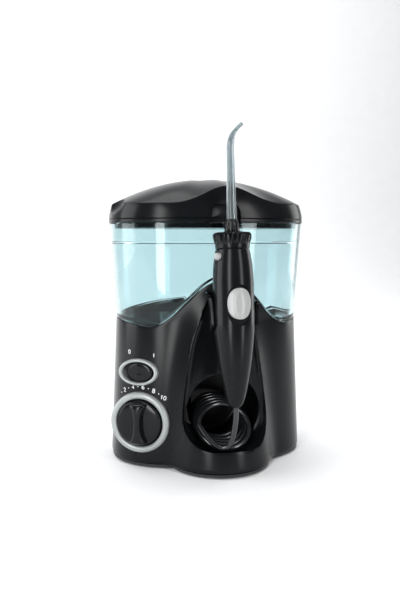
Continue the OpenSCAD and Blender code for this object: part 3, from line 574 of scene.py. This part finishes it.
def lid_rings(shrink, angles):
    levels = [0.0, 0.02, 0.2, 0.4, 0.6, 0.8, 0.92, 0.97, 1.0, 1.03, 1.08]
    levels += [1.08 + 0.9 * k / 26 for k in range(1, 27)]
    rings = []
    for s in levels:
        ring = []
        for a in angles:
            x, y, z = lid_point(a, s)
            r = math.hypot(x, y - MID_Y)
            near_notch = 4.2 * math.exp(-(x / 15) ** 4) if shrink and y < 0 and s < 1.02 else 0.0
            near_grip = 9.5 * math.exp(-((y - 4) / 20) ** 4) if shrink and abs(x) > 40 and s < 1.15 else 0.0
            keep = (r - shrink - near_notch - near_grip) / r if r > 16 else 0.02
            ring.append((x * keep, MID_Y + (y - MID_Y) * keep, z - (shrink if s > 0.9 else 0.0)))
        rings.append(ring)
    return rings


def lid():
    angles = directions(320)
    outer = lid_rings(0.0, angles)
    inner = lid_rings(2.2, angles)
    count = len(angles)
    verts = [p for ring in outer for p in ring]
    faces = []
    for j in range(len(outer) - 1):
        a, b = j * count, (j + 1) * count
        faces += [(a + i, a + (i + 1) % count, b + (i + 1) % count, b + i) for i in range(count)]
    top = (len(outer) - 1) * count
    verts.append((0, MID_Y, 221.0))
    faces += [(top + i, top + (i + 1) % count, len(verts) - 1) for i in range(count)]
    base = len(verts)
    verts += [p for ring in inner for p in ring]
    for j in range(len(inner) - 1):
        a, b = base + j * count, base + (j + 1) * count
        faces += [(a + i, b + i, b + (i + 1) % count, a + (i + 1) % count) for i in range(count)]
    top = base + (len(inner) - 1) * count
    verts.append((0, MID_Y, 218.6))
    faces += [(top + i, len(verts) - 1, top + (i + 1) % count) for i in range(count)]
    faces += [(i, base + i, base + (i + 1) % count, (i + 1) % count) for i in range(count)]
    cover = mesh("lid_shell", verts, faces, 25)
    thumb = []
    for side in (-1, 1):
        rings = []
        for k in range(1, 24):
            u = math.pi * k / 24
            rings.append([(side * (87.0 + 19.0 * math.sin(u) * math.cos(v)), -1 - 27 * math.cos(u),
                           205 + 15.0 * math.sin(u) * math.sin(v))
                           for v in (2 * math.pi * i / 56 for i in range(56))])
        thumb.append(skin("thumb_tool", rings))
    cut(cover, *thumb)
    cut(cover, notch_tool())
    cut(cover, block("hinge_room", (-60, 69, 180), (60, 84, 191.2)),
            block("pin_room", (-28, 65, 180), (28, 84, 195.6)))
    modify(cover, "BEVEL", width=0.0004, segments=2, limit_method="ANGLE", angle_limit=math.radians(40))
    crisp(cover, 45)
    dress(cover, "housing_black", "cover", "lid_cover")
    lugs = []
    for x in (-18, 18):
        place = Matrix.Translation((x - 2.4, 69.4, 193.4)) @ Matrix.Rotation(math.radians(90), 4, "Y")
        lugs.append(lathe("cover_lug", [(1.25, 0), (3, 0), (3, 4.8), (1.25, 4.8)], place, 48, loop=True))
        lugs.append(block("cover_arm", (x - 2.4, 66.6, 195), (x + 2.4, 69.8, 201)))
    for lug in lugs:
        dress(lug, "housing_black", "cover")
    tray_rings = []
    for z, inset in ((TANK_TOP - 4, 4.4), (TANK_TOP - 3.6, 4.0), (TANK_TOP - 0.2, 4.0), (TANK_TOP, 0.6),
                     (TANK_TOP + 0.2, 0.15), (TANK_TOP + 0.8, 0.0), (TANK_TOP + 2.4, 0.0),
                         (TANK_TOP + 2.9, 0.3)):
        tray_rings.append([at(oval_reach(LID_A - inset, LID_B - inset, a), a, z) for a in angles])
    for z, inset in ((TANK_TOP + 2.9, 6.0), (TANK_TOP - 1.8, 6.6), (TANK_TOP - 2.2, 8)):
        tray_rings.append([at(oval_reach(LID_A - inset, LID_B - inset, a), a, z) for a in angles])
    tray = skin("tray_shell", tray_rings)
    cut(tray, notch_tool())
    crisp(tray, 32)
    dress(tray, "housing_black", "lid", "lid_tray")
    for x in (-24, 24):
        place = Matrix.Translation((x - 3, 69.4, 193.4)) @ Matrix.Rotation(math.radians(90), 4, "Y")
        dress(lathe("tray_ear", [(1.2, 0), (3, 0), (3, 6), (1.2, 6)], place, 48, loop=True),
                "housing_black", "lid")
        dress(block("tray_post", (x - 3, 66.4, 188.5), (x + 3, 71.8, 191.2)), "housing_black", "lid")
    for x in (-44, -20, 20, 44):
        rib = block("tip_rib", (x - 1.5, -13, 183.2), (x + 1.5, 47, 190.8))
        cut(rib, *[lathe("rib_tool", [(0.01, 0), (3.1, 0), (3.1, 6), (0.01, 6)], Matrix.Translation(
            (x - 3, MID_Y + y, 190)) @ Matrix.Rotation(math.radians(90), 4, "Y"), 40) for y in (-20, -8,
                4, 16)])
        crisp(rib, 32)
        dress(rib, "housing_black", "lid")


def notch_tool():
    """Arched recess in the lid's front for the handle's top."""
    rings = []
    for y, grow in ((-60, 1.25), (-40, 1.04), (-37.5, 1.0), (-34.5, 0.97), (-33.4, 0.9), (-33.0, 0.8)):
        ring = [(-11.5 * grow, y, TANK_TOP - 8), (11.5 * grow, y, TANK_TOP - 8)]
        for i in range(25):
            u = math.pi * i / 24
            ring.append((11.5 * grow * sgn_pow(math.cos(u), 0.6), y,
                    190.0 + 9.4 * grow * math.sin(u) ** 0.6))
        rings.append(ring)
    return skin("notch_tool", rings)


lid()

# ---------- handle ----------

def handle_place():
    return Matrix.Translation((0, GRIP_Y, GRIP_Z)) @ Matrix.Rotation(-LEAN, 4, "X")


HANDLE = handle_place()
GRIP = [(2.4, 0.0), (3.2, 0.1), (4.3, 1.2), (5.4, 2.9), (6.4, 5.6), (7.4, 9), (9.5, 18.6), (11.7, 31),
        (13.6, 46), (14.5, 56), (14.7, 64), (14.7, 84), (14.6, 92), (13.9, 102), (12.9, 109), (12.3, 112.5)]


def grip():
    profile = spline(GRIP, 5)
    profile = [(2.4, -0.0)] + [tuple(p) for p in profile[5:]]
    profile += [(11.9, 112.9), (9.4, 113.0), (9.4, 122.6), (9.0, 123.0), (4.0, 123.0), (4.0, 112.0),
            (7.2, 110.5),
                (7.2, 103.0), (2.4, 100.0), (2.4, 20.0)]
    body = lathe("grip_shell", profile, HANDLE, 128, loop=True, sharp=40)
    slot_tool = oval_plug("pause_tool", 9.0, 14.4, 12.2, 20.0, 73.3)
    cut(body, slot_tool)
    crisp(body, 35)
    return body


def oval_ring(half_w, half_h, depth, centre_z, count=72, power=2.3):
    """Oval seen from the front of the handle, at a depth out from its axis."""
    ring = []
    for i in range(count):
        u = 2 * math.pi * i / count
        x = half_w * sgn_pow(math.cos(u), 2 / power)
        z = half_h * sgn_pow(math.sin(u), 2 / power)
        ring.append(HANDLE @ Vector((x, -depth, centre_z + z)))
    return ring


def oval_plug(name, half_w, half_h, inner, outer, centre_z):
    return skin(name, [oval_ring(half_w, half_h, inner, centre_z),
            oval_ring(half_w, half_h, outer, centre_z)])


def saddle_ring(half_w, half_h, lift, centre_z, count=80, power=2.25):
    """Oval laid on the grip's curve, lifted off it."""
    ring = []
    for i in range(count):
        u = 2 * math.pi * i / count
        x = half_w * sgn_pow(math.cos(u), 2 / power)
        z = half_h * sgn_pow(math.sin(u), 2 / power)
        ring.append(HANDLE @ Vector((x, -math.sqrt((GRIP_R + lift) ** 2 - x * x), centre_z + z)))
    return ring


def pause_button():
    z = 74.4
    low = skin("pause_low", [saddle_ring(8.2, 10.7, -1.6, z), saddle_ring(8.4, 10.9, -1.2, z),
                             saddle_ring(8.4, 10.9, 0.5, z), saddle_ring(8.2, 10.7, 0.95, z),
                             saddle_ring(7.8, 10.3, 1.1, z), saddle_ring(5.0, 9.4, 1.15, z),
                             saddle_ring(4.75, 9.1, 1.2, z), saddle_ring(4.5, 8.8, 1.75, z),
                             saddle_ring(4.1, 8.4, 2.0, z), saddle_ring(3.0, 7.0, 2.1, z),
                             saddle_ring(1.2, 3.0, 2.12, z)], sharp=50)
    dress(low, "white_button", "pause", "pause_button")


def collar():
    """Ring on top of the grip: smooth below, with pointed grooves running up into its crown."""
    count = 24 * 14

    def ring(r, z, depth=0.0, drop=0.0, width=0.5):
        out = []
        for i in range(count):
            u = 2 * math.pi * i / count
            near = abs(((i / 14.0) % 1.0) - 0.5) * 2
            bite = max(0.0, 1 - near / width) if width else 0.0
            out.append(HANDLE @ Vector(((r - depth * bite) * math.cos(u), (r - depth * bite) * math.sin(u),
                                        z - drop * bite)))
        return out
    rings = [ring(9.7, 113.2), ring(11.9, 113.2), ring(12.2, 113.5), ring(12.35, 114.8), ring(12.5, 116.2)]
    rings += [ring(12.7, 117.2, 0.25, 0, 0.25), ring(13.0, 118.2, 0.7, 0, 0.4),
            ring(13.4, 119.6, 1.1, 0, 0.55),
              ring(13.75, 121.2, 1.4, 0, 0.7), ring(13.85, 122.4, 1.6, 0.1, 0.85),
                      ring(13.7, 123.4, 1.8, 0.4, 0.95),
              ring(13.2, 124.2, 1.8, 0.7, 1.0), ring(12.4, 124.7, 1.4, 0.8, 1.0),
                      ring(11.4, 124.8, 0.8, 0.6, 1.0),
              ring(10.4, 124.8), ring(9.7, 124.6)]
    body = skin("collar_shell", rings, loop=True, sharp=24)
    dress(body, "housing_black", "collar", "rotation_collar")


def eject():
    place = HANDLE @ Matrix.Translation((0, 0, 107.6)) @ Matrix.Rotation(math.radians(24), 4, "Z")
    place = place @ Matrix.Rotation(math.radians(-90), 4, "Y")
    body = lathe("eject_shell", [(0.01, 10.3), (2.6, 10.3), (2.6, 14.6), (2.45, 15.3), (2.05, 15.9),
            (1.4, 16.3),
                                 (0.7, 16.45), (0.01, 16.5)], place, 48)
    dress(body, "white_button", "eject", "eject_button")


def jet_tip():
    line = [(0, 0, z) for z in (128, 134, 140, 148, 156, 164, 171)]
    line += [(0, 0, 179), (0, 0, 185.4), (0.8, 0, 191), (2.8, 0, 195.6), (5.4, 0, 199.2), (9.2, 0, 202.8)]
    path = spline(line, 5)
    total = length_of(path)
    sizes = ((0, 3.6), (0.35, 3.2), (0.62, 2.85), (0.72, 2.75), (0.8, 2.2), (0.9, 1.7), (1.0, 1.35))

    def outer(t):
        for (a, ra), (b, rb) in zip(sizes, sizes[1:]):
            if t <= b:
                return ra + (rb - ra) * (t - a) / (b - a)
        return sizes[-1][1]
    world = [HANDLE @ Vector(p) for p in path]
    far = tube_rings(world, outer, 40)
    near = tube_rings(world, lambda t: outer(t) * 0.5, 40)
    body = skin("tip_shell", far + near[::-1], loop=True, sharp=40)
    dress(body, "clear_tip", "tip", "jet_tip")
    return total


def tip_cone():
    rings = []
    count = 8 * 10
    for r, z, flute in ((3.9, 125.1, 0), (5.3, 125.1, 0), (5.5, 125.5, 0), (5.5, 127.0, 0.1),
            (5.3, 128.4, 0.5),
                        (4.95, 130.6, 0.7), (4.5, 132.6, 0.55), (4.3, 133.7, 0.2), (4.1, 134.1, 0.0),
                            (3.75, 134.1, 0)):
        ring = []
        for i in range(count):
            u = 2 * math.pi * i / count
            bite = max(0.0, math.cos(8 * u)) ** 2
            ring.append(HANDLE @ Vector(((r - flute * bite) * math.cos(u),
                    (r - flute * bite) * math.sin(u), z)))
        rings.append(ring)
    body = skin("cone_shell", rings, loop=True, sharp=40)
    dress(body, "dial_black", "tip", "tip_cone")


dress(grip(), "housing_black", "handle", "handle_shell")
pause_button()
collar()
eject()
jet_tip()
tip_cone()

def cradle():
    """Clip behind the handle: two arms hug the grip and flare outwards at the top."""
    levels = [CRADLE_LOW + CRADLE_STEP * k for k in range(44)]
    low, high = levels[0], levels[-1]
    outer, inner = [], []
    for z in levels:
        t = (z - low) / (high - low)
        close = math.sqrt(max(0.0, 1 - (2 * t - 1) ** 6))
        reach = math.radians(40 + (66 - 6 * math.sin(math.pi * t) - 8 * t) * close)
        flare = 3.2 * max(0.0, (t - 0.45) / 0.55) ** 2
        rows = ([], [])
        for i in range(49):
            u = -reach + 2 * reach * i / 48
            edge = abs(u) / reach
            open_out = flare * edge ** 4
            for row, r in ((0, 17.6 + open_out), (1, 15.35 + open_out)):
                rows[row].append(HANDLE @ Vector((r * math.sin(u), r * math.cos(u),
                        z - 3.4 * u / reach * t)))
        outer.append(rows[0])
        inner.append(rows[1])
    rings = [o + i[::-1] for o, i in zip(outer, inner)]
    body = skin("cradle_shell", rings, sharp=50)
    web = block("cradle_web", (-8.5, 16.4, 58), (8.5, 27.2, 81), HANDLE)
    dress(body, "housing_black", "base", "handle_cradle")
    dress(web, "housing_black", "base")


cradle()

# ---------- front controls ----------


def dial():
    place = wing_place(DIAL_AT)
    ring = lathe("dial_ring_shell", [(18.4, -1.0), (18.4, 1.9), (18.7, 2.5), (19.4, 3.0), (20.6, 3.15),
                                     (21.8, 2.9), (22.8, 2.2), (23.3, 1.2), (23.4, 0.3), (23.4, -1.0)],
                 place, 144, loop=True, sharp=45)
    dress(ring, "silver_trim", "base", "dial_ring")
    knob = lathe("dial_shell", [(0.01, -3.0), (17.0, -3.0), (17.4, -2.6), (17.4, 2.4), (17.2, 3.0),
            (16.7, 3.5),
                                (16.0, 3.75), (12.0, 4.0), (6.0, 4.1), (0.01, 4.1)], place, 144)
    dress(knob, "dial_black", "dial", "pressure_dial")
    grip_bar(place)


def grip_bar(place):
    """Pinched bar across the dial, thick at both ends and narrow at the waist, between two scoops."""
    rings = []
    for k in range(41):
        t = -1 + 2 * k / 40
        length = 16.2
        half = 3.1 + 5.2 * abs(t) ** 2.6
        if abs(t) > 0.86:
            half *= math.sqrt(max(1 - ((abs(t) - 0.86) / 0.15) ** 2, 0.02))
        height = 6.4 * (1 - 0.18 * t * t) * math.sqrt(max(1 - max(abs(t) - 0.8, 0) ** 2 / 0.041, 0.02))
        ring = []
        for i in range(33):
            u = math.pi * i / 32
            ring.append(place @ Vector((half * math.cos(u), length * t,
                    3.6 + height * math.sin(u) ** 0.55)))
        ring += [place @ Vector((-half * 0.9, length * t, 3.2)),
                place @ Vector((half * 0.9, length * t, 3.2))]
        rings.append(ring)
    bar = skin("dial_bar", rings, sharp=50)
    dress(bar, "dial_black", "dial")


def switch():
    place = wing_place(SWITCH_AT)
    rings = []
    for grow, z in ((0.0, -1.0), (0.0, 1.6), (0.35, 2.3), (1.0, 2.75), (1.9, 2.85), (2.8, 2.5), (3.5, 1.7),
                    (3.8, 0.7), (3.8, -1.0)):
        a, b = 12.6 + grow * 0.84, 7.9 + grow * 0.62
        rings.append([place @ Vector((a * math.cos(u), b * math.sin(u), z))
                      for u in (2 * math.pi * i / 96 for i in range(96))])
    bezel = skin("bezel_shell", rings, loop=True, sharp=45)
    dress(bezel, "silver_trim", "base", "switch_bezel")
    rocker = []
    for grow, lift in ((0.0, -6.0), (0.0, 0.0), (0.25, 0.5), (0.9, 0.95), (2.4, 1.1),
            (5, 1.12),
                                      (7.0, 1.12)):
        a, b = 11.4 - grow, 7.2 - grow * 0.85
        ring = []
        for i in range(96):
            u = 2 * math.pi * i / 96
            x, y = a * math.cos(u), b * math.sin(u)
            tilt = (0.245 * x if x < 0 else 0.02 * x) if lift >= 0 else 0.0
            ring.append(place @ Vector((x, y, lift + tilt + (0.9 if lift >= 0 else 0.0))))
        rocker.append(ring)
    rocker = skin("rocker_shell", rocker, sharp=40)
    dress(rocker, "dial_black", "rocker", "switch_rocker")


dial()
switch()

# ---------- marks ----------

# Strokes in a unit cell, 0..1 across and 0..1.6 up
STROKES = {
    "0": [[(0.5 + 0.5 * math.cos(t), 0.8 + 0.8 * math.sin(t)) for t in
           (2 * math.pi * k / 24 for k in range(25))]],
    "1": [[(0.15, 1.2), (0.55, 1.6), (0.55, 0.0)]],
    "2": [[(0.02, 1.2), (0.2, 1.52), (0.5, 1.6), (0.82, 1.5), (0.95, 1.2), (0.85, 0.9), (0.0, 0.0),
        (1.0, 0.0)]],
    "4": [[(0.78, 0.0), (0.78, 1.6), (0.0, 0.5), (1.02, 0.5)]],
    "6": [[(0.85, 1.45), (0.5, 1.6), (0.15, 1.3), (0.0, 0.7), (0.08, 0.25), (0.5, 0.0), (0.9, 0.2),
        (1.0, 0.5),
           (0.9, 0.8), (0.5, 0.98), (0.12, 0.78)]],
    "8": [[(0.5 + 0.42 * math.cos(t), 1.2 + 0.4 * math.sin(t))
           for t in (2 * math.pi * k / 20 for k in range(21))],
          [(0.5 + 0.5 * math.cos(t), 0.4 + 0.42 * math.sin(t))
           for t in (2 * math.pi * k / 20 for k in range(21))]],
    "I": [[(0.5, 0.0), (0.5, 1.6)]],
}


def strokes(lines, width, out):
    """Flat ribbons along lines of (x, y), as top-face quads sharing their corners."""
    for line in lines:
        pts = [np.array(p) for p in line]
        closed = np.linalg.norm(pts[0] - pts[-1]) < 1e-6
        left, right = [], []
        for i, p in enumerate(pts):
            a = pts[i - 1] if i else (pts[-2] if closed else pts[0])
            b = pts[i + 1] if i + 1 < len(pts) else (pts[1] if closed else pts[-1])
            d = (b - a) / (np.linalg.norm(b - a) or 1)
            n = np.array((-d[1], d[0])) * width / 2
            left.append(p + n)
            right.append(p - n)
        out.append((left, right))


def wing_depth(place, x, y):
    """How far the wing's skin lies behind the plane through a control's middle."""
    p = place @ Vector((x, y, 0))
    out = (place.to_3x3() @ Vector((0, 0, 1))).normalized()
    low, high = -12.0, 8.0
    for _ in range(30):
        mid = (low + high) / 2
        q = p + out * mid
        reach = math.hypot(q.x, q.y - MID_Y)
        if reach > body_reach(q.z, math.atan2(q.y - MID_Y, q.x)):
            high = mid
        else:
            low = mid
    return low


def marks():
    """Printed scale above the dial and the two signs above the switch, laid on the curved wing."""
    ribbons = []
    dial_place, switch_place = wing_place(DIAL_AT), wing_place(SWITCH_AT)

    def glyph(text, cx, cy, size, place, turn=0.0):
        cells = len(text)
        for k, ch in enumerate(text):
            lines = []
            for line in STROKES[ch]:
                pts = []
                for u, v in line:
                    x = (u - 0.5 + 1.35 * (k - (cells - 1) / 2)) * size
                    y = (v - 0.8) * size
                    pts.append((cx + x * math.cos(turn) - y * math.sin(turn),
                                cy + x * math.sin(turn) + y * math.cos(turn)))
                lines.append(pts)
            found = []
            strokes(lines, 0.5, found)
            ribbons.extend((place, f) for f in found)

    def dot(cx, cy, r, place):
        ring = [(cx + r / 2 * math.cos(t), cy + r / 2 * math.sin(t)) for t in
                (2 * math.pi * k / 12 for k in range(13))]
        found = []
        strokes([ring], r * 0.98, found)
        ribbons.extend((place, f) for f in found)
    for k in range(10):
        turn = math.radians(42 - 9.4 * k)
        x, y = -27.2 * math.sin(turn), 27.2 * math.cos(turn)
        if k % 2:
            glyph(("2", "4", "6", "8", "10")[k // 2], x, y, 1.85, dial_place, turn * 0.35)
        else:
            dot(x, y, 0.42, dial_place)
    glyph("0", -9.0, 14.4, 1.8, switch_place)
    glyph("I", 12.0, 13.2, 1.8, switch_place)
    verts, faces = [], []
    for place, (left, right) in ribbons:
        start = len(verts)
        for lift in (0.09, -0.25):
            for side in (left, right):
                for p in side:
                    verts.append(place @ Vector((p[0], p[1], wing_depth(place, p[0], p[1]) + lift)))
        n = len(left)
        top_l, top_r, low_l, low_r = start, start + n, start + 2 * n, start + 3 * n
        for i in range(n - 1):
            faces += [(top_l + i, top_r + i, top_r + i + 1, top_l + i + 1),
                      (low_l + i, low_l + i + 1, low_r + i + 1, low_r + i),
                      (top_l + i, top_l + i + 1, low_l + i + 1, low_l + i),
                      (top_r + i, low_r + i, low_r + i + 1, top_r + i + 1)]
        for i in (0, n - 1):
            faces.append((top_l + i, low_l + i, low_r + i, top_r + i))
    piece = mesh("scale_marks", verts, faces, 30)
    dress(piece, MARK, "base", slot="white_button")


marks()

# ---------- CAD pieces that keep their own shape ----------

slots = {part["node"]: part["material_slot"] for part in frame["record"]["subparts"]}
for name, node in frame["nodes"].items():
    node.data.materials.clear()
    node.data.materials.append(LOOKS[slots[name]])
    node.data.shade_smooth()
    node.data.set_sharp_from_angle(angle=math.radians(35))

# ---------- studio ----------


def floor():
    """Pale sweep: a floor that curves up into a backdrop."""
    profile = [(-0.48, 0.0), (0.9, 0.0)]
    profile += [(0.9 + 0.6 * math.sin(t), 0.6 - 0.6 * math.cos(t)) for t in
                (math.radians(6 * k) for k in range(1, 16))]
    profile += [(1.5, 3.2)]
    verts, faces = [], []
    for x in (-3.2, 3.2):
        verts += [(x / MM, y / MM, z / MM) for y, z in profile]
    n = len(profile)
    faces = [(i, i + 1, n + i + 1, n + i) for i in range(n - 1)]
    sweep = mesh("studio_sweep", verts, faces, 60)
    white = material("paper_white", (0.93, 0.935, 0.94), 0.7, bump=0.02, grain=60, tint=0.01)
    sweep.data.materials.append(white)


def softbox(name, at_m, aim, size_x, size_y, power, tone=(1, 1, 1)):
    data = bpy.data.lights.new(name, "AREA")
    data.shape = "RECTANGLE"
    data.size, data.size_y = size_x, size_y
    data.energy = power
    data.color = tone
    lamp = bpy.data.objects.new(name, data)
    lamp.location = at_m
    lamp.rotation_euler = (Vector(aim) - Vector(at_m)).to_track_quat("-Z", "Y").to_euler()
    bpy.context.scene.collection.objects.link(lamp)


def studio():
    floor()
    world = bpy.data.worlds.new("studio")
    bpy.context.scene.world = world
    world.use_nodes = True
    world.node_tree.nodes["Background"].inputs["Color"].default_value = (0.95, 0.97, 1.0, 1)
    world.node_tree.nodes["Background"].inputs["Strength"].default_value = 0.16
    bpy.context.scene.view_settings.view_transform = "Standard"
    softbox("strip_left", (-0.68, -0.9, 0.3), (0, 0, 0.14), 0.24, 1.2, 10)
    softbox("key_right", (0.60, -1.0, 0.36), (0, 0, 0.12), 0.24, 1.1, 7)
    softbox("side_left", (-1.1, 0.15, 0.35), (0, 0, 0.12), 0.7, 0.9, 9)
    softbox("side_right", (1.1, 0.3, 0.35), (0, 0, 0.12), 0.5, 0.9, 5)
    softbox("top", (0.0, 0.35, 1.6), (0, 0.25, 0), 1.6, 1.2, 14)
    softbox("back_wash", (0.0, 0.35, 1.7), (0, 1.4, 0.45), 2.4, 0.8, 13)


studio()
